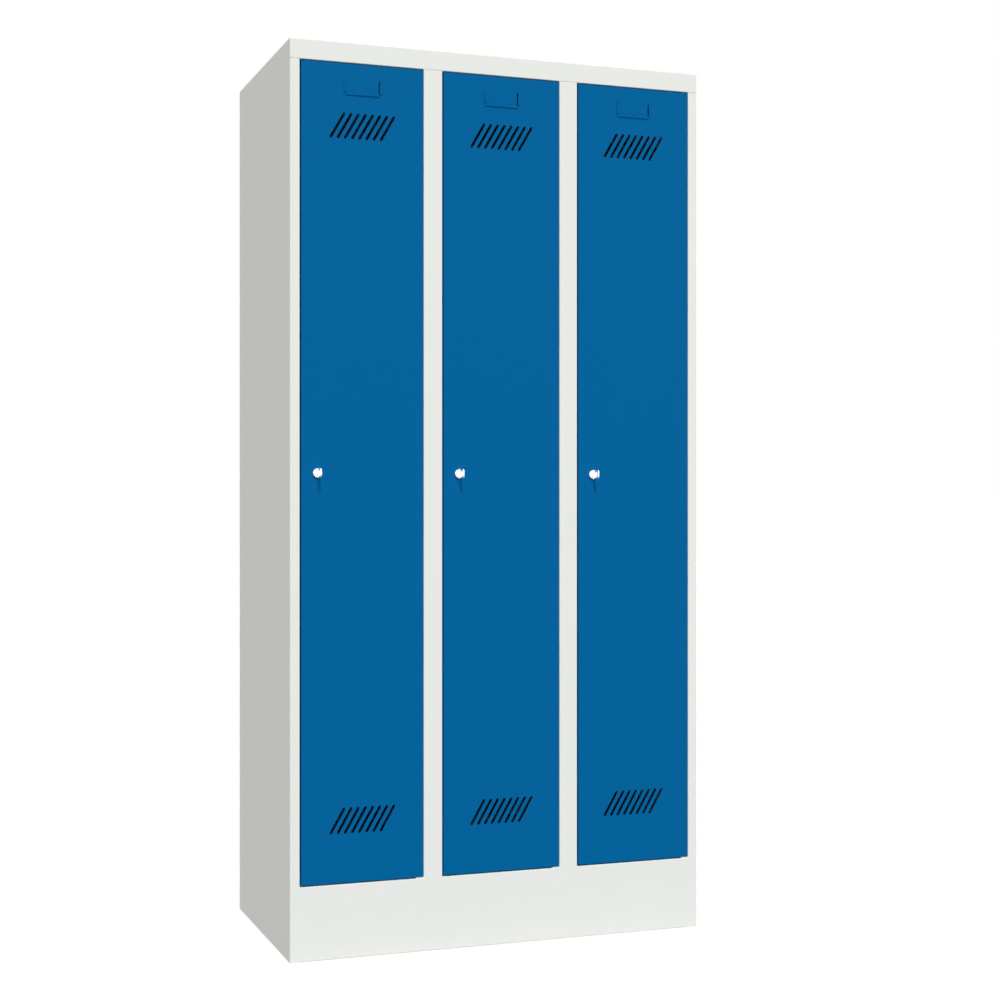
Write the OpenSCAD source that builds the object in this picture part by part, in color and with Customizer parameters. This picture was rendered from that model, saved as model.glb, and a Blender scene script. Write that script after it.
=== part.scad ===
// Steel clothes locker: three full-height compartments side by side on a closed plinth.
// Folded sheet carcass, inset doors hinged on the right on pivot pins, a cam lock with
// its key in each door, and a hat shelf with a coat rail and sliding hooks inside.
// X runs to the right, Y from the front to the back, Z up. The origin is the bottom
// centre of the whole envelope, which reaches from the key bows to the back panel.

/* [Cabinet] */
// Overall width
width = 900; // [750:1:1200]
// Depth from the door faces to the back panel
depth = 500; // [400:1:600]
// Overall height
height = 1850; // [1500:1:2200]
// Height of the closed plinth below the doors
plinth_h = 150; // [120:1:200]

/* [Sheet metal] */
// Thickness of every folded sheet
sheet = 0.8; // [0.6:0.1:1.2]
// Inside radius of every fold
bend_r = 0.8; // [0.5:0.1:1.2]
// Width of the flanges that join the panels at the back
back_flange = 15; // [10:1:20]
// Width of the inward foot flanges that stand on the floor
foot_flange = 20; // [15:1:20]
// Height of the flange turned down from the compartment floor
floor_flange = 30; // [20:1:40]

/* [Front frame] */
// Face width of the two outer stiles
outer_stile_w = 20; // [20:1:30]
// Face width of the posts between the doors
post_w = 40; // [32:1:50]
// Face height of the rail above the doors
rail_h = 40; // [30:1:60]
// Depth of the folded frame behind the door faces
frame_depth = 22; // [21:0.5:30]
// Width of the stiffening lip along the back of each stile
frame_lip = 10; // [6:1:11]
// Height of the stop flange behind the top and bottom edge of a door
stop_h = 12; // [11:1:14]
// Joint left between the rail and the stiles under it
seam = 0.15; // [0.1:0.05:0.5]

/* [Doors] */
// Free depth between the back of a door and the stop flanges
stop_gap = 4; // [3:0.5:6]
// Width of the lip turned in along the back of a door pan
door_lip = 14; // [10:1:16]
// Gap beside a door on its lock side
gap_lock = 2.8; // [1.5:0.1:3]
// Gap beside a door on its hinge side
gap_hinge = 1; // [1:0.1:2]
// Gap above a door
gap_top = 2.4; // [1.5:0.1:3]
// Gap below a door
gap_bottom = 2.8; // [1.5:0.1:3]
// Width of the stiffener along the middle of a door
stiffener_w = 40; // [30:1:60]
// Depth of that stiffener
stiffener_d = 12; // [8:1:13]

/* [Hinges] */
// Radius of the pivot pins
pin_r = 2; // [1.5:0.1:2]
// Running clearance around a pivot pin
pin_clear = 0.05; // [0.03:0.01:0.08]
// Distance from the hinge edge of a door to its pivot axis
pivot_inset = 10; // [8:0.5:10]
// Distance from the door face back to the pivot axis
pivot_setback = 4; // [3.8:0.1:4.2]
// Width of a hinge bracket in the gap below a door
bracket_w = 16; // [15:1:22]
// Distance from the door face back to the front of a hinge bracket
bracket_setback = 1.2; // [0.8:0.1:1.2]
// Free height between a hinge bracket and the door
bracket_clear = 0.3; // [0.3:0.1:0.6]
// Length of pin that passes beyond the end of the door opening
pin_reach = 6; // [4:1:10]
// Thickness of the block that anchors a pin inside the door
block_t = 3; // [2:0.5:5]

/* [Vents] */
// Number of slots in a group
slot_count = 8; // [4:1:10]
// Distance between neighbouring slots
slot_pitch = 15; // [10:0.5:20]
// Width of a slot
slot_w = 5.5; // [3:0.1:6]
// Length of a slot from end to end
slot_len = 60; // [30:1:70]
// Slope of the slots
slot_angle = 60; // [45:1:90]
// Distance from the end of a door to the middle of a slot group
vent_drop = 125.5; // [120:0.5:150]

/* [Card holder] */
// Width of the card that slides in
card_w = 68; // [50:1:80]
// Distance from the top of the door opening to the bottom of the holder
holder_drop = 65; // [50:1:70]
// Width of the side tabs
tab_w = 4.5; // [4:0.5:8]
// Length of the side tabs
tab_len = 26; // [15:1:30]
// Height of the bottom tab
tab_h = 5; // [4:0.5:6]
// How far the tabs stand out from the door
tab_proud = 2; // [1:0.1:3]
// Width of the slot through the door beside the right tab
tab_slot = 2; // [1:0.1:3]

/* [Locks] */
// Distance from the side of the door opening to the lock axis
lock_inset = 36; // [30:1:50]
// How far the lock head stands out from the door
head_proud = 5; // [3:0.5:8]
// Radius of the turning plug
plug_r = 6; // [5.5:0.1:7]
// Wall of the threaded barrel around the plug
barrel_wall = 2; // [1.5:0.1:3]
// How far the lock head reaches beyond the barrel all round
head_rim = 1.5; // [1:0.1:3]
// Running clearance around the plug
plug_clear = 0.05; // [0.03:0.01:0.08]
// Thickness of the cam
cam_t = 2; // [1.5:0.5:3]
// Width of the cam
cam_w = 14; // [12:1:16]
// Overlap of the locked cam behind the stile
cam_catch = 7; // [4:0.5:8]
// Free space between the frame and the cam that turns behind it
cam_clear = 0.8; // [0.5:0.1:1.5]

/* [Keys] */
// Height of a key bow
bow_h = 19; // [16:1:24]
// Length of a key bow
bow_len = 23; // [18:1:28]
// Thickness of a key bow
bow_t = 2.4; // [2:0.1:3]
// Width of the metal around the opening in the bow
bow_rim = 4; // [3:0.5:5]
// Length of the key neck in front of the lock head
neck_len = 4; // [3:0.5:8]
// Height of a key blade
blade_h = 8.2; // [7:0.1:8.4]
// Thickness of a key blade
blade_t = 1.8; // [1.4:0.1:2]

/* [Fittings] */
// Clear height above the hat shelf
hat_space = 299; // [200:1:400]
// Height of the flanges around the hat shelf
shelf_flange = 20; // [15:1:30]
// Distance from the frame back to the front edge of the hat shelf
shelf_setback = 10; // [8:1:60]
// Distance from the hat shelf down to the coat rail axis
rail_drop = 60; // [45:1:90]
// Height of the flat oval coat rail
rail_oval_h = 25; // [20:1:30]
// Thickness of the flat oval coat rail
rail_oval_t = 12; // [10:1:16]
// Width of a coat hook along the rail
hook_w = 12; // [8:1:16]
// Distance between the coat hooks at rest
hook_pitch = 75; // [72:1:80]

/* [Fixings] */
// Diameter of the connecting holes between neighbouring cabinets
connect_d = 8; // [6:0.5:8]
// Distance of the connecting holes behind the front
connect_y = 45; // [40:1:60]
// Distance of the connecting holes from the roof and from the compartment floor
connect_end = 50; // [40:1:100]
// Diameter of the wall fixing holes
wall_hole_d = 8; // [6:0.5:10]
// Distance of the wall fixing holes below the roof
wall_hole_drop = 60; // [45:1:120]

/* [Hidden] */
$fn = 48;
bays = 3;
hooks_per_bay = 3;
bend_steps = 4;
body_grey = [0.906, 0.914, 0.902];
door_blue = [0.0, 0.388, 0.604];
plated = [0.82, 0.83, 0.84];
black = [0.12, 0.12, 0.13];

half_w = width / 2;
door_bottom = plinth_h + gap_bottom;
opening_top = height - rail_h;
door_top = opening_top - gap_top;
holder_z = opening_top - holder_drop;
side_tab_z = holder_z + tab_h + 1;
back_y = depth - sheet;
panel_y = back_y - sheet;
opening_w = (width - 2 * outer_stile_w - (bays - 1) * post_w) / bays;
bay_pitch = opening_w + post_w;
fold_r = bend_r + sheet;
door_depth = frame_depth - stop_gap;
bracket_d = door_depth;

lock_z = (plinth_h + opening_top) / 2;
barrel_r = plug_r + barrel_wall;
head_r = barrel_r + head_rim;
shoulder_r = plug_r + 1;
shoulder_t = 1.2;
face_recess = 0.2;
cam_y = frame_depth + cam_clear;
barrel_end = cam_y - 0.4;
cam_reach = lock_inset + cam_catch;
boss_w = 1.4 * plug_r - 0.5;
boss_clear = 0.05;
nut_across = 2 * (barrel_r + 3);
nut_t = 4;
guide_w = 1.6;
guide_t = 1;
screw_head_r = boss_w / 2 + 0.55;
screw_head_t = 2.4;
screw_r = 2;
screw_len = 6;
keyway_clear = 0.2;
keyway_end = barrel_end - screw_len;
blade_end = keyway_end - 0.5;
key_proud = head_proud + neck_len + bow_len;
front_y = -(depth - key_proud) / 2;

shelf_z = height - sheet - hat_space;
shelf_y = frame_depth + shelf_setback;
coat_y = depth / 2;
coat_z = shelf_z - rail_drop;
tube_wall = 1;
bracket_gap = 15;
bracket_t = 2;
ring_clear = 0.5;
ring_wall = 2.5;
prong_r = 16;
prong_w = 5;
stem_len = 12;
buffer_r = 4;
buffer_gap = 0.3;
buffer_inset = 40;

// ---- names and places -----------------------------------------------------------

function bay_node(name, i) = str(name, "_", i + 1);
function hook_node(i, k) = str("coat_hook_", i + 1, "_", k + 1);

// Middle of a door opening, of a post, and the inner faces of a compartment's walls
function bay_x(i) = (i - (bays - 1) / 2) * bay_pitch;
function post_x(i) = bay_x(i) + bay_pitch / 2;
function wall_left(i) = i == 0 ? -half_w + sheet : post_x(i - 1) + sheet / 2;
function wall_right(i) = i == bays - 1 ? half_w - sheet : post_x(i) - sheet / 2;

// Edges of a door, its pivot axis and its lock axis
function opening_left(i) = bay_x(i) - opening_w / 2;
function opening_right(i) = bay_x(i) + opening_w / 2;
function door_left(i) = opening_left(i) + gap_lock;
function door_right(i) = opening_right(i) - gap_hinge;
function pivot_x(i) = door_right(i) - pivot_inset;
function lock_x(i) = opening_left(i) + lock_inset;

// ---- folded sheet ---------------------------------------------------------------

// The outline of a sheet folded along an open path. The path is one face of the sheet,
// and the sheet lies on the left of it. Every corner is a fold with the inside radius r.
function unit(v) = v / norm(v);
function left_of(d) = [-d[1], d[0]];
function turned(v, a) = [v[0] * cos(a) - v[1] * sin(a), v[0] * sin(a) + v[1] * cos(a)];
function reversed(v) = [for (i = [len(v) - 1:-1:0]) v[i]];

function fold_arc(p, i, t, r, layer) =
    let (d1 = unit(p[i] - p[i - 1]),
         d2 = unit(p[i + 1] - p[i]),
         turn = atan2(d1[0] * d2[1] - d1[1] * d2[0], d1 * d2),
         s = sign(turn),
         n1 = left_of(d1),
         n2 = left_of(d2),
         near = s > 0 ? r + t : r,
         centre = p[i] + s * near * (n1 + n2) / (1 + n1 * n2))
    [for (k = [0:bend_steps]) centre - s * (near - s * layer) * turned(n1, turn * k / bend_steps)];

function fold_layer(p, t, r, layer) =
    let (last = len(p) - 1,
         n_first = left_of(unit(p[1] - p[0])),
         n_last = left_of(unit(p[last] - p[last - 1])))
    concat([p[0] + layer * n_first],
           [for (i = [1:last - 1]) each fold_arc(p, i, t, r, layer)],
           [p[last] + layer * n_last]);

function folded(p) =
    concat(fold_layer(p, sheet, bend_r, 0), reversed(fold_layer(p, sheet, bend_r, sheet)));

// A folded sheet with its path in plan, standing h tall
module fold_up(path, h) {
    linear_extrude(h) polygon(folded(path));
}

// A folded sheet with its path in side view, running from x1 to x2
module fold_across(path, x1, x2) {
    side_shape(x1, x2) polygon(folded(path));
}

// A shape drawn in side view (Y to the right, Z up), extruded from x1 to x2
module side_shape(x1, x2) {
    translate([x1, 0, 0]) rotate([90, 0, 90]) linear_extrude(x2 - x1) children();
}

// Children drawn along +Z are laid along +Y, at a point of the front face
module into_cabinet(x, z) {
    translate([x, 0, z]) rotate([-90, 0, 0]) children();
}

module block(lo, hi) {
    translate(lo) cube(hi - lo);
}

module rounded_rect(w, h, r) {
    square([w - 2 * r, h], center = true);
    square([w, h - 2 * r], center = true);
    for (x = [-1, 1], y = [-1, 1])
        translate([x * (w / 2 - r), y * (h / 2 - r)]) circle(r);
}

// A flat oval standing on its narrow end
module flat_oval(w, h) {
    square([w, h - w], center = true);
    for (s = [-1, 1])
        translate([0, s * (h - w) / 2]) circle(w / 2);
}

// Everything is drawn with Y = 0 at the front face and then moved into the part's frame
module placed(c) {
    color(c) translate([0, front_y, 0]) children();
}

// ---- carcass --------------------------------------------------------------------

// The front flange lies flat beside the plinth and folds back into a stile above it
module side_panel() {
    flange_x = -half_w + back_flange;
    stile_x = -half_w + outer_stile_w;
    stile_top = opening_top - seam;
    difference() {
        union() {
            fold_up([[flange_x, back_y], [-half_w, back_y], [-half_w, 0], [stile_x, 0]], plinth_h);
            translate([0, 0, plinth_h])
                fold_up([[flange_x, back_y], [-half_w, back_y], [-half_w, 0], [stile_x, 0],
                         [stile_x, frame_depth], [stile_x - frame_lip, frame_depth]],
                        stile_top - plinth_h);
            translate([0, 0, stile_top])
                fold_up([[flange_x, back_y], [-half_w, back_y], [-half_w, sheet]],
                        height - sheet - stile_top);
            block([-half_w + sheet, fold_r, 0], [-half_w + foot_flange, panel_y, sheet]);
        }
        connecting_holes();
    }
}

// Two holes through the side panel for bolting cabinets together
module connecting_holes() {
    for (z = [plinth_h + connect_end, height - connect_end])
        translate([-half_w - 1, connect_y, z]) rotate([0, 90, 0]) cylinder(d = connect_d, h = sheet + 2);
}

module left_side_panel() {
    placed(body_grey) side_panel();
}

module right_side_panel() {
    placed(body_grey) mirror([1, 0, 0]) side_panel();
}

// Plastic plugs that close the connecting holes from the inside
module connector_plugs() {
    plug_len = 5;
    rim_r = connect_d / 2 + 2;
    rim_t = 1.5;
    placed(body_grey)
        for (side = [0, 1], z = [plinth_h + connect_end, height - connect_end])
            mirror([side, 0, 0])
                translate([-half_w + face_recess, connect_y, z])
                    rotate([0, 90, 0]) {
                        cylinder(r = connect_d / 2 - pin_clear, h = plug_len);
                        translate([0, 0, sheet - face_recess]) cylinder(r = rim_r, h = rim_t);
                    }
}

module back_panel() {
    placed(body_grey) difference() {
        block([-half_w, back_y, 0], [half_w, depth, height]);
        for (i = [0, bays - 1])
            into_cabinet(bay_x(i), height - wall_hole_drop)
                translate([0, 0, back_y - 1]) cylinder(d = wall_hole_d, h = sheet + 2);
    }
}

// Removes the stop flange where a post crosses it
module post_clearance(z1, z2) {
    for (i = [0:bays - 2])
        block([post_x(i) - post_w / 2, frame_depth - bend_r, z1],
              [post_x(i) + post_w / 2, frame_depth + sheet + 1, z2]);
}

// Holes for the pivot pins through a flange of the frame, with the given room around a pin
module pin_holes(room, z1, z2) {
    for (i = [0:bays - 1])
        translate([pivot_x(i), pivot_setback, z1]) cylinder(r = pin_r + room, h = z2 - z1);
}

module top_panel() {
    inner_w = half_w - sheet;
    placed(body_grey) difference() {
        fold_across([[back_y, height], [0, height], [0, opening_top],
                     [frame_depth, opening_top], [frame_depth, opening_top - stop_h]],
                    -half_w, half_w);
        post_clearance(opening_top - stop_h - 1, opening_top + fold_r);
        pin_holes(pin_clear, opening_top - 1, opening_top + sheet + 1);
        for (s = [0, 1]) mirror([s, 0, 0]) {
            block([inner_w, sheet, opening_top - stop_h - 1], [half_w + 1, depth, height - sheet]);
            block([half_w - outer_stile_w, frame_depth - bend_r, opening_top - stop_h - 1],
                  [half_w + 1, frame_depth + sheet + 1, opening_top + fold_r]);
        }
    }
}

module bottom_panel() {
    front = frame_depth + sheet;
    z = plinth_h - floor_flange;
    x = half_w - sheet;
    placed(body_grey) difference() {
        fold_across([[panel_y, z], [panel_y, plinth_h], [front, plinth_h], [front, z]], -x, x);
        corner_relief(-x, x, z, plinth_h);
    }
}

// Notches the rear corners of a shelf around the inside radius of the folds next to it
module corner_relief(x1, x2, z1, z2) {
    for (x = [x1 - 1, x2 - bend_r])
        block([x, panel_y - bend_r, z1 - 1], [x + bend_r + 1, panel_y + 1, z2 + 1]);
}

module plinth_front() {
    x = half_w - outer_stile_w;
    placed(body_grey) {
        difference() {
            fold_across([[frame_depth, plinth_h + stop_h], [frame_depth, plinth_h], [0, plinth_h],
                         [0, 0], [foot_flange, 0]], -x, x);
            post_clearance(plinth_h - fold_r, plinth_h + stop_h + 1);
            pin_holes(bracket_clear, plinth_h - sheet - 1, plinth_h + 1);
        }
        // the weld that fills the fold under each post
        for (i = [0:bays - 2])
            block([post_x(i) - post_w / 2, 0, plinth_h - fold_r],
                  [post_x(i) + post_w / 2, fold_r, plinth_h]);
    }
}

module post(i) {
    x1 = post_x(i) - post_w / 2;
    x2 = post_x(i) + post_w / 2;
    placed(body_grey)
        translate([0, 0, plinth_h])
            fold_up([[x1 + frame_lip, frame_depth], [x1, frame_depth], [x1, 0], [x2, 0],
                     [x2, frame_depth], [x2 - frame_lip, frame_depth]],
                    opening_top - seam - plinth_h);
}

// The front flange of a partition is welded behind the left lip of its post
module partition(i) {
    x = post_x(i) + sheet / 2;
    placed(body_grey)
        translate([0, 0, plinth_h])
            fold_up([[post_x(i) - post_w / 2 + 2, frame_depth], [x, frame_depth], [x, back_y],
                     [x - back_flange, back_y]], height - sheet - plinth_h);
}

// ---- hinges and stops -----------------------------------------------------------

// The lower pins turn in brackets on the plinth, the upper ones in the flange of the rail
module hinge_brackets() {
    top = door_bottom - bracket_clear;
    placed(body_grey)
        difference() {
            for (i = [0:bays - 1])
                block([opening_right(i) - bracket_w, bracket_setback, plinth_h],
                      [opening_right(i), bracket_d, top]);
            pin_holes(pin_clear, plinth_h - 1, top + 1);
        }
}

// Two pins, each welded to a block inside the end of a door
module hinge_pins(i) {
    placed(plated) {
        door_pin(i, door_top - sheet - block_t, opening_top + pin_reach, door_top - sheet - block_t);
        door_pin(i, plinth_h - pin_reach, door_bottom + sheet + block_t, door_bottom + sheet);
    }
}

module door_pin(i, z1, z2, block_z) {
    block_half = pivot_inset - fold_r;
    translate([pivot_x(i), pivot_setback, z1]) cylinder(r = pin_r, h = z2 - z1);
    block([pivot_x(i) - block_half, sheet, block_z],
          [pivot_x(i) + block_half, door_depth - sheet - 4, block_z + block_t]);
}

// Rubber pads on the stop flanges, near the lock side of each door
module door_buffers() {
    pad_y = door_depth + buffer_gap;
    placed(black)
        for (i = [0:bays - 1], z = [plinth_h + stop_h - buffer_r - 1, opening_top - stop_h + buffer_r + 1])
            into_cabinet(opening_left(i) + buffer_inset, z)
                translate([0, 0, pad_y])
                    cylinder(r1 = buffer_r - 0.8, r2 = buffer_r, h = frame_depth - pad_y);
}

// ---- doors ----------------------------------------------------------------------

module door_skin(i) {
    x1 = door_left(i);
    x2 = door_right(i);
    placed(door_blue) {
        difference() {
            union() {
                translate([0, 0, door_bottom])
                    fold_up([[x1 + door_lip, door_depth], [x1, door_depth], [x1, 0], [x2, 0],
                             [x2, door_depth], [x2 - door_lip, door_depth]], door_top - door_bottom);
                fold_across([[door_depth, door_top - door_lip], [door_depth, door_top],
                             [sheet / 2, door_top]], x1 + sheet / 2, x2 - sheet / 2);
                fold_across([[sheet / 2, door_bottom], [door_depth, door_bottom],
                             [door_depth, door_bottom + door_lip]], x1 + sheet / 2, x2 - sheet / 2);
            }
            for (z = [door_bottom + vent_drop, door_top - vent_drop])
                vent(bay_x(i), z);
            into_cabinet(lock_x(i), lock_z)
                translate([0, 0, -1]) cylinder(r = barrel_r + 0.1, h = sheet + 2);
            for (z = [door_bottom, door_top])
                translate([pivot_x(i), pivot_setback, z - sheet - 1])
                    cylinder(r = pin_r + pin_clear, h = 2 * (sheet + 1));
            translate([bay_x(i) + card_w / 2, -1, side_tab_z]) cube([tab_slot, sheet + 2, tab_len]);
        }
        card_holder(bay_x(i));
    }
}

// A group of sloping slots with round ends, cut through the door
module vent(x, z) {
    for (k = [0:slot_count - 1])
        translate([x + (k - (slot_count - 1) / 2) * slot_pitch, sheet + 1, z])
            rotate([90, 0, 0])
                linear_extrude(sheet + 2)
                    rotate(slot_angle - 90) flat_oval(slot_w, slot_len);
}

// Three raised tabs that hold a name card by its sides and bottom
module card_holder(x) {
    edge = card_w / 2;
    side_tab(x - edge, -1);
    side_tab(x + edge + tab_slot, 1);
    block([x - edge - 2, -tab_proud, holder_z], [x + edge + 2, 0, holder_z + sheet]);
    block([x - edge - 2, -tab_proud, holder_z],
          [x + edge + 2, sheet - tab_proud, holder_z + tab_h]);
}

// A tab with its free edge at x, joined to the door on the side that s points to
module side_tab(x, s) {
    translate([x, -tab_proud, side_tab_z])
        mirror([s < 0 ? 1 : 0, 0, 0]) {
            cube([tab_w, sheet, tab_len]);
            translate([tab_w - sheet, 0, 0]) cube([sheet, tab_proud, tab_len]);
        }
}

module door_stiffener(i) {
    x = bay_x(i);
    w = stiffener_w / 2;
    flange = 8;
    z1 = door_bottom + vent_drop + slot_len;
    z2 = door_top - vent_drop - slot_len;
    placed(door_blue)
        translate([0, 0, z1])
            fold_up([[x - w - flange, sheet], [x - w, sheet], [x - w, sheet + stiffener_d],
                     [x + w, sheet + stiffener_d], [x + w, sheet], [x + w + flange, sheet]], z2 - z1);
}

// ---- locks ----------------------------------------------------------------------

// The head, the barrel through the door and the bore that the plug turns in
module lock_housing(i) {
    chamfer = 1;
    bore_r = plug_r + plug_clear;
    seat_r = shoulder_r + plug_clear;
    seat = -head_proud + face_recess + shoulder_t + 0.1;
    placed(plated)
        into_cabinet(lock_x(i), lock_z)
            difference() {
                rotate_extrude()
                    polygon([[seat_r, -head_proud], [head_r - chamfer, -head_proud],
                             [head_r, chamfer - head_proud], [head_r, 0], [barrel_r, 0],
                             [barrel_r, barrel_end], [bore_r, barrel_end], [bore_r, seat],
                             [seat_r, seat]]);
                guide_slot();
            }
}

// The shallow slot across the lock face that guides the key in
module guide_slot() {
    translate([-guide_w / 2, -head_r - 1, -head_proud - 1])
        cube([guide_w, 2 * (head_r + 1), guide_t + 1]);
}

module lock_nut(i) {
    placed(plated)
        into_cabinet(lock_x(i), lock_z)
            translate([0, 0, sheet])
                difference() {
                    cylinder(d = nut_across / cos(30), h = nut_t, $fn = 6);
                    translate([0, 0, -1]) cylinder(r = barrel_r + 0.1, h = nut_t + 2);
                }
}

// The plug turns in the housing and carries the cam on a square boss
module lock_plug(i) {
    face = face_recess - head_proud;
    boss_end = cam_y + cam_t - 0.1;
    keyway_w = blade_t + 2 * keyway_clear;
    keyway_h = blade_h + 2 * keyway_clear;
    placed(plated)
        into_cabinet(lock_x(i), lock_z)
            difference() {
                union() {
                    translate([0, 0, face]) cylinder(r = shoulder_r, h = shoulder_t);
                    translate([0, 0, face]) cylinder(r = plug_r, h = barrel_end + 0.1 - face);
                    translate([-boss_w / 2, -boss_w / 2, face + shoulder_t])
                        cube([boss_w, boss_w, boss_end - face - shoulder_t]);
                }
                guide_slot();
                translate([-keyway_w / 2, -keyway_h / 2, face - 1])
                    cube([keyway_w, keyway_h, keyway_end - face + 1]);
                translate([0, 0, boss_end - screw_len]) cylinder(r = screw_r, h = screw_len + 1);
            }
}

// The cam hangs down when unlocked and turns behind the stile when locked
module lock_cam(i) {
    tip_r = cam_w / 2;
    hub_r = cam_w / 2 + 2;
    hole = boss_w + 2 * boss_clear;
    placed(plated)
        into_cabinet(lock_x(i), lock_z)
            translate([0, 0, cam_y])
                linear_extrude(cam_t)
                    difference() {
                        union() {
                            circle(hub_r);
                            translate([-tip_r, 0]) square([cam_w, cam_reach - tip_r]);
                            translate([0, cam_reach - tip_r]) circle(tip_r);
                        }
                        square(hole, center = true);
                    }
}

module cam_screw(i) {
    recess = 1.4;
    recess_w = 1.2;
    recess_len = 5;
    head_y = cam_y + cam_t;
    placed(plated)
        into_cabinet(lock_x(i), lock_z)
            difference() {
                union() {
                    translate([0, 0, head_y]) cylinder(r = screw_head_r, h = screw_head_t);
                    translate([0, 0, head_y - screw_len + 0.5]) cylinder(r = screw_r, h = screw_len);
                }
                for (a = [0, 90])
                    rotate(a)
                        translate([-recess_w / 2, -recess_len / 2, head_y + screw_head_t - recess])
                            cube([recess_w, recess_len, recess + 1]);
            }
}

// A flat key: the blade fills the keyway and the open bow stands on edge in front
module key(i) {
    bow_y = -head_proud - neck_len - bow_len / 2;
    placed(plated)
        translate([lock_x(i), 0, lock_z]) {
            side_shape(-bow_t / 2, bow_t / 2)
                translate([bow_y, 0])
                    difference() {
                        rounded_rect(bow_len, bow_h, bow_rim + 1);
                        rounded_rect(bow_len - 3 * bow_rim, bow_h - 2 * bow_rim, 2);
                    }
            side_shape(-blade_t / 2, blade_t / 2) key_blade(bow_y + bow_len / 2 - 1);
        }
}

// The blade in side view, with the lock cuts along its lower edge
module key_blade(y1) {
    cut = 1.6;
    cuts = 5;
    cut_pitch = (blade_end - 6) / cuts;
    difference() {
        translate([y1, -blade_h / 2]) square([blade_end - y1, blade_h]);
        for (k = [0:cuts - 1])
            translate([2 + k * cut_pitch, -blade_h / 2])
                polygon([[-cut, -0.1], [0, cut * (1 - 0.3 * (k % 2))], [cut, -0.1]]);
        translate([blade_end, -blade_h / 2]) rotate(45) square(4, center = true);
        translate([blade_end, blade_h / 2]) rotate(45) square(4, center = true);
    }
}

// ---- inside fittings ------------------------------------------------------------

module hat_shelf(i) {
    x1 = wall_left(i);
    x2 = wall_right(i);
    low = shelf_z - shelf_flange;
    placed(body_grey) {
        difference() {
            fold_across([[panel_y, low], [panel_y, shelf_z], [shelf_y, shelf_z], [shelf_y, low],
                         [shelf_y + 10, low]], x1, x2);
            corner_relief(x1, x2, low, shelf_z);
        }
        for (x = [x1, x2 - sheet])
            block([x, shelf_y + fold_r, low], [x + sheet, panel_y - fold_r, shelf_z - sheet / 2]);
    }
}

module coat_rail(i) {
    end_gap = 1;
    placed(plated)
        side_shape(wall_left(i) + end_gap, wall_right(i) - end_gap)
            translate([coat_y, coat_z])
                difference() {
                    flat_oval(rail_oval_t, rail_oval_h);
                    flat_oval(rail_oval_t - 2 * tube_wall, rail_oval_h - 2 * tube_wall);
                }
}

// Two hangers under each hat shelf that carry the ends of the coat rail
module coat_rail_brackets() {
    w = rail_oval_t + 8;
    foot = 14;
    placed(body_grey)
        for (i = [0:bays - 1], s = [0, 1])
            translate([bay_wall_middle(i), coat_y, 0])
                mirror([s, 0, 0])
                    translate([(wall_right(i) - wall_left(i)) / 2 - bracket_gap, 0, 0])
                        rail_bracket(w, foot);
}

function bay_wall_middle(i) = (wall_left(i) + wall_right(i)) / 2;

module rail_bracket(w, foot) {
    top = shelf_z - sheet;
    low = coat_z - rail_oval_h / 2 - 4;
    side_shape(-bracket_t, 0)
        difference() {
            union() {
                translate([-w / 2, low + w / 2]) square([w, top - low - w / 2]);
                translate([0, low + w / 2]) circle(w / 2);
            }
            translate([0, coat_z]) flat_oval(rail_oval_t, rail_oval_h);
        }
    block([-foot, -w / 2, top - bracket_t], [0, w / 2, top]);
}

// A double hook hanging from a ring that slides along the rail
module coat_hook(i, k) {
    x = bay_wall_middle(i) + (k - (hooks_per_bay - 1) / 2) * hook_pitch;
    grow = 2 * (ring_clear + ring_wall);
    stem_top = coat_z - rail_oval_h / 2 - ring_clear - ring_wall / 2;
    prong_z = stem_top - ring_wall / 2 - stem_len - prong_w;
    tip = prong_w / 2;
    placed(black)
        side_shape(x - hook_w / 2, x + hook_w / 2)
            translate([coat_y, 0]) {
                difference() {
                    translate([0, coat_z]) flat_oval(rail_oval_t + grow, rail_oval_h + grow);
                    translate([0, coat_z])
                        flat_oval(rail_oval_t + 2 * ring_clear, rail_oval_h + 2 * ring_clear);
                }
                translate([-tip, prong_z - prong_r + tip])
                    square([prong_w, stem_top - prong_z + prong_r - tip]);
                translate([0, prong_z])
                    difference() {
                        circle(prong_r);
                        circle(prong_r - prong_w);
                        translate([-prong_r - 1, 0]) square([2 * prong_r + 2, prong_r + 1]);
                    }
                for (s = [-1, 1])
                    translate([s * (prong_r - tip), prong_z]) circle(tip);
            }
}

// ---- the nodes ------------------------------------------------------------------

left_side_panel();
right_side_panel();
back_panel();
top_panel();
bottom_panel();
plinth_front();
post(0);  // left_post
post(1);  // right_post
partition(0);  // left_partition
partition(1);  // right_partition
hinge_brackets();
door_buffers();
coat_rail_brackets();
connector_plugs();
for (i = [0:bays - 1]) {
    hat_shelf(i);
    coat_rail(i);
    door_skin(i);
    door_stiffener(i);
    hinge_pins(i);
    lock_housing(i);
    lock_nut(i);
    lock_plug(i);
    lock_cam(i);
    cam_screw(i);
    key(i);
}
for (i = [0:bays - 1], k = [0:hooks_per_bay - 1])
    coat_hook(i, k);
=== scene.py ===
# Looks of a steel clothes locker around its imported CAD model.
# Every size is in metres, in the row frame: X to the right, Y to the back, Z up.

import math

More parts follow.
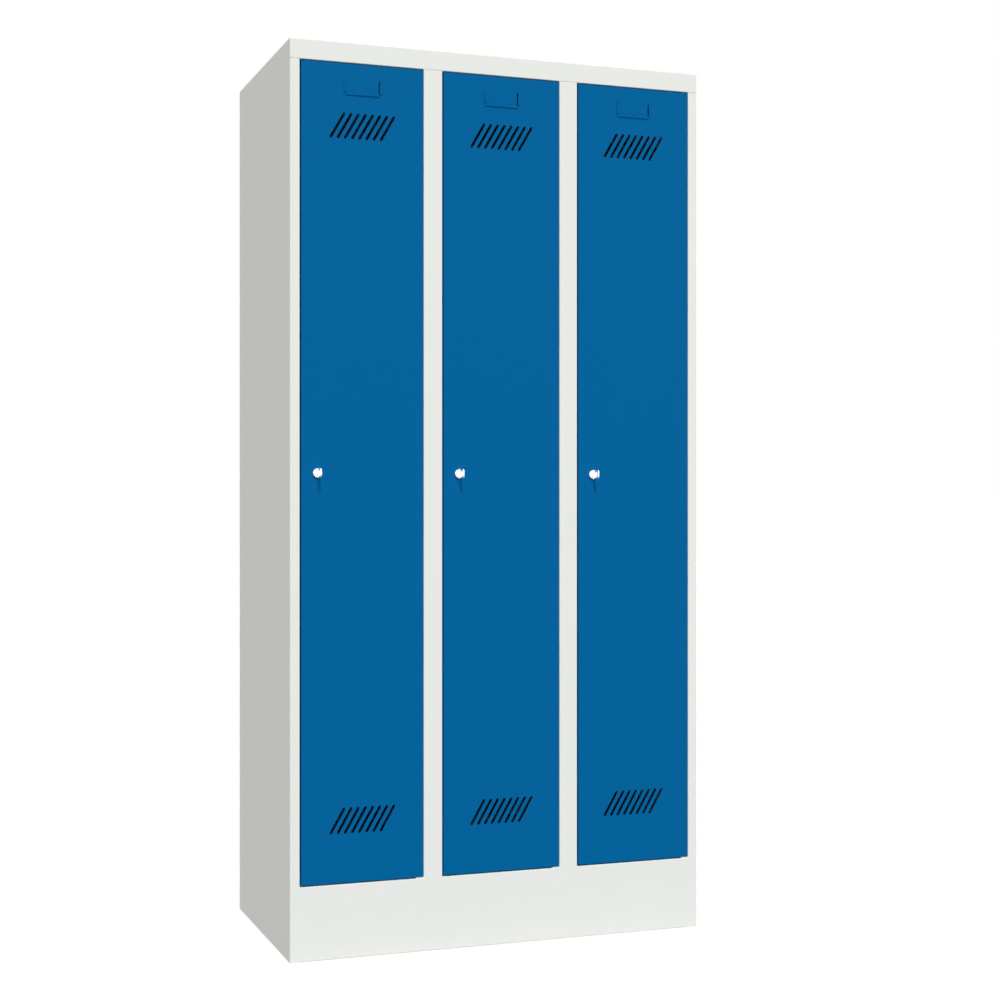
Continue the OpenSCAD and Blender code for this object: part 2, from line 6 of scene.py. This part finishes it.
import bmesh
import bpy
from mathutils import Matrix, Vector


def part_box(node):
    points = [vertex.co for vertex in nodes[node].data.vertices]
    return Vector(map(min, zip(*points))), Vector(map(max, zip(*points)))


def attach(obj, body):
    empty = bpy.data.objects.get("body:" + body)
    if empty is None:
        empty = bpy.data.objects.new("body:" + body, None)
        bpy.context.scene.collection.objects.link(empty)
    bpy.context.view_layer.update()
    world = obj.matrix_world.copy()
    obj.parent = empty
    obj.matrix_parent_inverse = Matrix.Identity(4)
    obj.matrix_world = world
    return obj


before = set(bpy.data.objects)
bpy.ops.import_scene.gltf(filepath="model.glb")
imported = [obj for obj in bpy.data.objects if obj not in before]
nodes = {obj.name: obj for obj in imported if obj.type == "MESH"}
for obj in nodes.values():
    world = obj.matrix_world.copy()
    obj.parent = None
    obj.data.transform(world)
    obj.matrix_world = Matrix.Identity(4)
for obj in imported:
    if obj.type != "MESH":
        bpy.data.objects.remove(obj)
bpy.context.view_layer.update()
scene = bpy.context.scene
scene.view_settings.view_transform = "Standard"
BAYS = (1, 2, 3)
WHITE = (1, 1, 1, 1)

# ---- camera ---------------------------------------------------------------------

CAMERA_PLACE = (-1.2487, -3.6699, 0.9259)
CAMERA_AZIMUTH = 19.918  # degrees that the view is turned from +Y towards +X
CAMERA_LENS = 63.115  # millimetres, as is the sensor
SENSOR = 36.0


def make_camera():
    data = bpy.data.cameras.new("camera")
    data.lens = CAMERA_LENS
    data.sensor_width = SENSOR
    camera = bpy.data.objects.new("camera", data)
    scene.collection.objects.link(camera)
    camera.location = CAMERA_PLACE
    camera.rotation_euler = (math.radians(90), 0, math.radians(-CAMERA_AZIMUTH))
    scene.camera = camera


make_camera()

# ---- light and floor ------------------------------------------------------------

AMBIENT = 0.570  # radiance of the studio around the cabinet, where the background is 1
GLOSS_FRONT = 2.2  # what polished metal mirrors of the softboxes in front
GLOSS_BACK = 0.45  # and of the darker studio behind
GLOSS_FALL = (-0.6, 0.5)  # directions, by their Y, between which the one turns into the other
KEY_SHARE = 0.642  # what the key adds to a white surface that faces it
KEY_DIRECTION = Vector((-0.18, -1.0, 1.07))  # towards the lamp
KEY_ANGLE = 8.0  # degrees that the softbox spans
FLOOR_REACH = 30.0
FLOOR_GLOW = 0.86  # of the background's white, so that only a faint shade can show
FLOOR_SHOWN = (0.30, 0.30, 0.30, 1)  # reflects the rest of that white to the camera
FLOOR_BOUNCE = (0.9, 0.9, 0.9, 1)  # reflects light to the cabinet
FLOOR_ROUGHNESS = 0.9


def background(tree, strength):
    node = tree.nodes.new("ShaderNodeBackground")
    node.inputs["Color"].default_value = WHITE
    node.inputs["Strength"].default_value = strength
    return node


def by_ray(tree, ray, others, special):
    """The special shader for rays of the named kind, and the first one for all others."""
    path = tree.nodes.new("ShaderNodeLightPath")
    mix = tree.nodes.new("ShaderNodeMixShader")
    tree.links.new(path.outputs[ray], mix.inputs["Fac"])
    tree.links.new(others.outputs[0], mix.inputs[1])
    tree.links.new(special.outputs[0], mix.inputs[2])
    return mix


def make_world():
    """White behind the object, a dimmer even light from all round, and softboxes to mirror."""
    world = bpy.data.worlds.new("studio")
    world.use_nodes = True
    scene.world = world
    tree = world.node_tree
    tree.nodes.remove(tree.nodes["Background"])
    shown = background(tree, 1.0)
    lighting = background(tree, AMBIENT)
    mirrored = background(tree, GLOSS_FRONT)
    way = tree.nodes.new("ShaderNodeTexCoord")
    parts = tree.nodes.new("ShaderNodeSeparateXYZ")
    tree.links.new(way.outputs["Generated"], parts.inputs[0])
    fall = tree.nodes.new("ShaderNodeMapRange")
    fall.interpolation_type = "SMOOTHSTEP"
    fall.inputs["From Min"].default_value, fall.inputs["From Max"].default_value = GLOSS_FALL
    fall.inputs["To Min"].default_value = GLOSS_FRONT
    fall.inputs["To Max"].default_value = GLOSS_BACK
    tree.links.new(parts.outputs["Y"], fall.inputs["Value"])
    tree.links.new(fall.outputs["Result"], mirrored.inputs["Strength"])
    around = by_ray(tree, "Is Glossy Ray", lighting, mirrored)
    mix = by_ray(tree, "Is Camera Ray", around, shown)
    tree.links.new(mix.outputs[0], tree.nodes["World Output"].inputs["Surface"])


def make_floor():
    """A pale floor that meets the background, with only a faint shade under the object."""
    mesh = bpy.data.meshes.new("floor")
    corners = [(-1, -1), (1, -1), (1, 1), (-1, 1)]
    places = [(x * FLOOR_REACH, y * FLOOR_REACH, 0) for x, y in corners]
    mesh.from_pydata(places, [], [(0, 1, 2, 3)])
    floor = bpy.data.objects.new("floor", mesh)
    scene.collection.objects.link(floor)
    material = bpy.data.materials.new("floor")
    material.use_nodes = True
    tree = material.node_tree
    surface = tree.nodes["Principled BSDF"]
    surface.inputs["Base Color"].default_value = FLOOR_SHOWN
    surface.inputs["Roughness"].default_value = FLOOR_ROUGHNESS
    surface.inputs["Specular IOR Level"].default_value = 0.0
    surface.inputs["Emission Color"].default_value = WHITE
    surface.inputs["Emission Strength"].default_value = FLOOR_GLOW
    dim = tree.nodes.new("ShaderNodeBsdfDiffuse")
    dim.inputs["Color"].default_value = FLOOR_BOUNCE
    mix = by_ray(tree, "Is Camera Ray", dim, surface)
    tree.links.new(mix.outputs[0], tree.nodes["Material Output"].inputs["Surface"])
    mesh.materials.append(material)


def make_key():
    """A large softbox. It reaches no floor, so the cabinet throws no hard shadow there."""
    data = bpy.data.lights.new("key", "SUN")
    data.energy = KEY_SHARE * math.pi
    data.angle = math.radians(KEY_ANGLE)
    key = bpy.data.objects.new("key", data)
    scene.collection.objects.link(key)
    key.rotation_mode = "QUATERNION"
    key.rotation_quaternion = KEY_DIRECTION.to_track_quat("Z", "Y")
    reached = bpy.data.collections.new("lit_by_key")
    for node in nodes.values():
        reached.objects.link(node)
    key.light_linking.receiver_collection = reached
    return reached


make_world()
make_floor()
lit_by_key = make_key()

# ---- shaders --------------------------------------------------------------------

NOISE_LOW = 0.3  # Blender's noise lies mostly between these two values
NOISE_HIGH = 0.7


class Shader:
    """A Principled material whose patterns are set out in the row frame."""

    def __init__(self, name, colour, constants):
        self.material = bpy.data.materials.new(name)
        self.material.use_nodes = True
        self.material.diffuse_color = (*colour, 1)
        self.tree = self.material.node_tree
        self.surface = self.tree.nodes["Principled BSDF"]
        self.surface.inputs["Base Color"].default_value = (*colour, 1)
        for socket, value in constants.items():
            self.surface.inputs[socket].default_value = value
        self.place = self.add("ShaderNodeTexCoord").outputs["Object"]

    def add(self, kind, inputs=None, **settings):
        node = self.tree.nodes.new(kind)
        for name, value in settings.items():
            setattr(node, name, value)
        for name, value in (inputs or {}).items():
            self.feed(node.inputs[name], value)
        return node

    def feed(self, socket, value):
        if isinstance(value, bpy.types.NodeSocket):
            self.tree.links.new(value, socket)
        else:
            socket.default_value = value

    def noise(self, size, detail, vector=None):
        """A value around 0.5 that varies over about that many metres."""
        inputs = {"Vector": vector or self.place, "Scale": 1 / size, "Detail": detail}
        return self.add("ShaderNodeTexNoise", inputs).outputs["Fac"]

    def stretched(self, factors):
        """The place, scaled along each axis, so that small factors draw a pattern out."""
        inputs = {0: self.place, 1: factors}
        return self.add("ShaderNodeVectorMath", inputs, operation="MULTIPLY").outputs[0]

    def about(self, centre):
        """The place, measured from a centre."""
        inputs = {0: self.place, 1: centre}
        return self.add("ShaderNodeVectorMath", inputs, operation="SUBTRACT").outputs[0]

    def weighted(self, value, share, rest):
        """The share of a value, added to the rest."""
        inputs = {0: value, 1: share, 2: rest}
        return self.add("ShaderNodeMath", inputs, operation="MULTIPLY_ADD").outputs[0]

    def remap(self, value, low=0.0, high=1.0):
        """Noise, spread from low to high."""
        inputs = {
            "Value": value,
            "From Min": NOISE_LOW,
            "From Max": NOISE_HIGH,
            "To Min": low,
            "To Max": high,
        }
        return self.add("ShaderNodeMapRange", inputs).outputs["Result"]

    def tone(self, value, colour, darkest, lightest):
        """The colour, made from darkest to lightest times as bright by the noise."""
        mix = self.add("ShaderNodeMix", data_type="RGBA")
        self.feed(mix.inputs["Factor"], self.remap(value))
        # the colour sockets of this node share their names with others, so they go by number
        self.feed(mix.inputs[6], (*tinted(colour, darkest), 1))
        self.feed(mix.inputs[7], (*tinted(colour, lightest), 1))
        return mix.outputs[2]

    def bump(self, height, depth, strength, under=None):
        inputs = {"Height": height, "Distance": depth, "Strength": strength}
        if under:
            inputs["Normal"] = under
        return self.add("ShaderNodeBump", inputs).outputs["Normal"]

    def finish(self, colour, roughness, normal):
        self.feed(self.surface.inputs["Base Color"], colour)
        self.feed(self.surface.inputs["Roughness"], roughness)
        self.feed(self.surface.inputs["Normal"], normal)
        return self.material


def tinted(colour, factor):
    return tuple(min(1.0, c * factor) for c in colour)


SPECKS_SHARE = 0.5  # of the powder coat's spread of tone, what the fine specks take
DRIFT_SHARE = 0.08  # and what the slow drift over the sheets takes


def powder_coat(name, colour, gloss):
    """Matt powder coat: fine specks, a slight orange peel and a tone that hardly drifts."""
    shader = Shader(name, colour, {"Specular IOR Level": gloss})
    specks = shader.noise(size=0.0009, detail=2)
    drift = shader.noise(size=0.22, detail=1)
    level = shader.weighted(drift, DRIFT_SHARE, (1 - SPECKS_SHARE - DRIFT_SHARE) / 2)
    level = shader.weighted(specks, SPECKS_SHARE, level)
    tone = shader.tone(level, colour, darkest=0.965, lightest=1.03)
    roughness = shader.remap(shader.noise(size=0.012, detail=3), low=0.38, high=0.5)
    grain = shader.bump(specks, depth=0.00012, strength=0.6)
    waves = shader.noise(size=0.0045, detail=1)
    peel = shader.bump(waves, depth=0.00025, strength=0.5, under=grain)
    return shader.finish(tone, roughness, peel)


def plated(name, colour, rough, grain_stretch, cloud):
    """Bare or plated steel with a drawn grain, and clouds of that size in its tone."""
    shader = Shader(name, colour, {"Metallic": 1.0})
    grain = shader.noise(size=0.0008, detail=2, vector=shader.stretched(grain_stretch))
    clouds = shader.noise(size=cloud, detail=3)
    tone = shader.tone(clouds, colour, darkest=0.9, lightest=1.06)
    roughness = shader.remap(grain, low=rough * 0.8, high=rough * 1.25)
    return shader.finish(tone, roughness, shader.bump(grain, depth=0.00002, strength=0.4))


def turned_chrome(name, centre):
    """Bright chrome with the rings that turning left round the lock's axis."""
    colour = (0.93, 0.93, 0.935)
    shader = Shader(name, colour, {"Metallic": 1.0})
    rings = shader.add(
        "ShaderNodeTexWave",
        {"Vector": shader.about(centre), "Scale": 900.0, "Distortion": 0.4, "Detail": 1.0},
        wave_type="RINGS",
        rings_direction="Y",
    ).outputs["Fac"]
    smudges = shader.noise(size=0.006, detail=2)
    tone = shader.tone(smudges, colour, darkest=0.95, lightest=1.03)
    roughness = shader.remap(shader.noise(size=0.003, detail=2), low=0.10, high=0.18)
    return shader.finish(tone, roughness, shader.bump(rings, depth=0.000008, strength=0.3))


def moulded(name, colour, rough, grain):
    """Moulded plastic or rubber with a fine spark-eroded grain."""
    shader = Shader(name, colour, {"Specular IOR Level": 0.4})
    tone = shader.tone(shader.noise(size=0.01, detail=2), colour, darkest=0.85, lightest=1.15)
    patches = shader.noise(size=grain * 4, detail=2)
    roughness = shader.remap(patches, low=rough - 0.06, high=rough + 0.06)
    pits = shader.noise(size=grain, detail=2)
    return shader.finish(tone, roughness, shader.bump(pits, depth=0.00005, strength=0.4))


GREY = (0.825, 0.84, 0.802)
BLUE = (0.0, 0.124, 0.331)
NICKEL = (0.93, 0.93, 0.935)
ZINC = (0.68, 0.70, 0.73)
BLACKENED = (0.10, 0.10, 0.105)
STEEL = (0.74, 0.75, 0.77)
BLACK_PLASTIC = (0.028, 0.028, 0.031)
GREY_PLASTIC = (0.70, 0.72, 0.695)
RUBBER = (0.022, 0.022, 0.024)
ALONG_X = (0.15, 1, 1)  # stretches of a grain
ALONG_TUBE = (0.05, 1, 1)
ALONG_Y = (1, 0.12, 1)
ALONG_Z = (1, 1, 0.2)

body_paint = powder_coat("light_grey_powder_coat", GREY, gloss=0.1)
door_paint = powder_coat("blue_powder_coat", BLUE, gloss=0.04)
key_plate = plated("nickel_plated_key", NICKEL, 0.36, ALONG_Y, cloud=0.004)
zinc = plated("zinc_plate", ZINC, 0.34, ALONG_X, cloud=0.002)
pin_steel = plated("blackened_pin_steel", BLACKENED, 0.42, ALONG_Z, cloud=0.002)
rail_steel = plated("drawn_steel_tube", STEEL, 0.24, ALONG_TUBE, cloud=0.006)
hook_plastic = moulded("black_polyamide", BLACK_PLASTIC, 0.46, grain=0.0007)
plug_plastic = moulded("light_grey_plastic", GREY_PLASTIC, 0.42, grain=0.0009)
rubber = moulded("black_rubber", RUBBER, 0.78, grain=0.0012)

# ---- which node has which finish ------------------------------------------------


def lock_centre(bay):
    low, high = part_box(f"lock_housing_{bay}")
    return (low + high) / 2


lock_chrome = {str(bay): turned_chrome(f"chrome_lock_{bay}", lock_centre(bay)) for bay in BAYS}


def finish_of(node):
    if node.startswith(("door_skin", "door_stiffener")):
        return door_paint
    if node.startswith("key_"):
        return key_plate
    if node.startswith(("lock_housing", "lock_plug")):
        return lock_chrome[node[-1]]
    if node.startswith("hinge_pins"):
        return pin_steel
    if node.startswith(("lock_nut", "lock_cam", "cam_screw")):
        return zinc
    if node.startswith("coat_rail_") and node != "coat_rail_brackets":
        return rail_steel
    if node.startswith("coat_hook"):
        return hook_plastic
    return {"connector_plugs": plug_plastic, "door_buffers": rubber}.get(node, body_paint)


for name, node in nodes.items():
    for slot in node.material_slots:
        slot.material = finish_of(name)

# ---- rounded edges on the CAD pieces --------------------------------------------

BEVELS = {
    "lock_housing": 0.00025,
    "lock_plug": 0.00015,
    "key_": 0.0003,
    "lock_cam": 0.0002,
    "lock_nut": 0.0003,
    "cam_screw": 0.0002,
    "coat_hook": 0.0008,
    "coat_rail_brackets": 0.0002,
}
BEVEL_SEGMENTS = 2
SAME_POINT = 0.00001  # points of the CAD mesh closer than this are one point
FLAT_ANGLE = 0.5  # degrees between faces that are one flat face
SHARP_ANGLE = 35.0  # degrees between faces whose edge is rounded


def round_edges(node, width):
    weld = node.modifiers.new("weld", "WELD")
    weld.merge_threshold = SAME_POINT
    flat = node.modifiers.new("flat", "DECIMATE")
    flat.decimate_type = "DISSOLVE"
    flat.angle_limit = math.radians(FLAT_ANGLE)
    bevel = node.modifiers.new("bevel", "BEVEL")
    bevel.width = width
    bevel.segments = BEVEL_SEGMENTS
    bevel.limit_method = "ANGLE"
    bevel.angle_limit = math.radians(SHARP_ANGLE)
    bevel.harden_normals = True


for name, node in nodes.items():
    for start, width in BEVELS.items():
        if name.startswith(start):
            round_edges(node, width)

# ---- spot welds -----------------------------------------------------------------

WELD_RADIUS = 0.0028
WELD_RIM = 0.0007  # width of the ring that the electrode raises
WELD_HEIGHT = 0.00018
WELD_STEPS = 20
# radius and height of each ring of points, from the sheet over the rim into the dish
WELD_PROFILE = (
    (WELD_RADIUS + WELD_RIM, 0.0),
    (WELD_RADIUS + WELD_RIM / 2, WELD_HEIGHT),
    (WELD_RADIUS, WELD_HEIGHT),
    (WELD_RADIUS * 0.7, WELD_HEIGHT * 0.35),
)
PANEL_EDGE = 0.0075  # from the edge of a panel's flange to the middle of its row of welds
STIFFENER_EDGE = 0.004  # and from the edge of a stiffener's flange
PANEL_PITCH = 0.09
STIFFENER_PITCH = 0.075
FEWEST_WELDS = 2


def weld_mark(mesh, centre):
    """A flat ring pressed up around a shallow dish, facing backwards."""
    rings = []
    for radius, height in WELD_PROFILE:
        ring = []
        for k in range(WELD_STEPS):
            turn = 2 * math.pi * k / WELD_STEPS
            place = (math.cos(turn) * radius, height, math.sin(turn) * radius)
            ring.append(mesh.verts.new(centre + Vector(place)))
        rings.append(ring)
    for outer, inner in zip(rings, rings[1:]):
        for k in range(WELD_STEPS):
            n = (k + 1) % WELD_STEPS
            mesh.faces.new((outer[k], outer[n], inner[n], inner[k]))
    mesh.faces.new(rings[-1])
    mesh.faces.new(list(reversed(rings[0])))


def weld_marks(columns, y, low, high, pitch):
    """A mesh of columns of evenly spaced marks at y, between the heights low and high."""
    count = max(FEWEST_WELDS, round((high - low) / pitch))
    mesh = bmesh.new()
    for x in columns:
        for k in range(count):
            z = low + (k + 0.5) * (high - low) / count
            weld_mark(mesh, Vector((x, y, z)))
    bmesh.ops.recalc_face_normals(mesh, faces=mesh.faces)
    return mesh


def add_welds(name, body, material, marks):
    data = bpy.data.meshes.new(name)
    marks.to_mesh(data)
    marks.free()
    for face in data.polygons:
        face.use_smooth = True
    data.materials.append(material)
    piece = bpy.data.objects.new(name, data)
    scene.collection.objects.link(piece)
    lit_by_key.objects.link(piece)
    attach(piece, body)


def welds_on_back():
    """The back panel is welded to the side flanges and to the flanges of the partitions."""
    low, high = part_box("back_panel")
    columns = [low.x + PANEL_EDGE, high.x - PANEL_EDGE]
    for partition in ("left_partition", "right_partition"):
        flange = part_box(partition)[1].x
        columns.append(flange - PANEL_EDGE)
    marks = weld_marks(columns, high.y, low.z, high.z, PANEL_PITCH)
    add_welds("back_spot_welds", "carcass", body_paint, marks)


def welds_in_door(bay):
    """The stiffener is welded to the door by its two flanges."""
    low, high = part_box(f"door_stiffener_{bay}")
    sheet_front, sheet_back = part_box("back_panel")
    thickness = sheet_back.y - sheet_front.y
    columns = (low.x + STIFFENER_EDGE, high.x - STIFFENER_EDGE)
    marks = weld_marks(columns, low.y + thickness, low.z, high.z, STIFFENER_PITCH)
    add_welds(f"door_spot_welds_{bay}", f"door_{bay}", door_paint, marks)


welds_on_back()
for bay in BAYS:
    welds_in_door(bay)
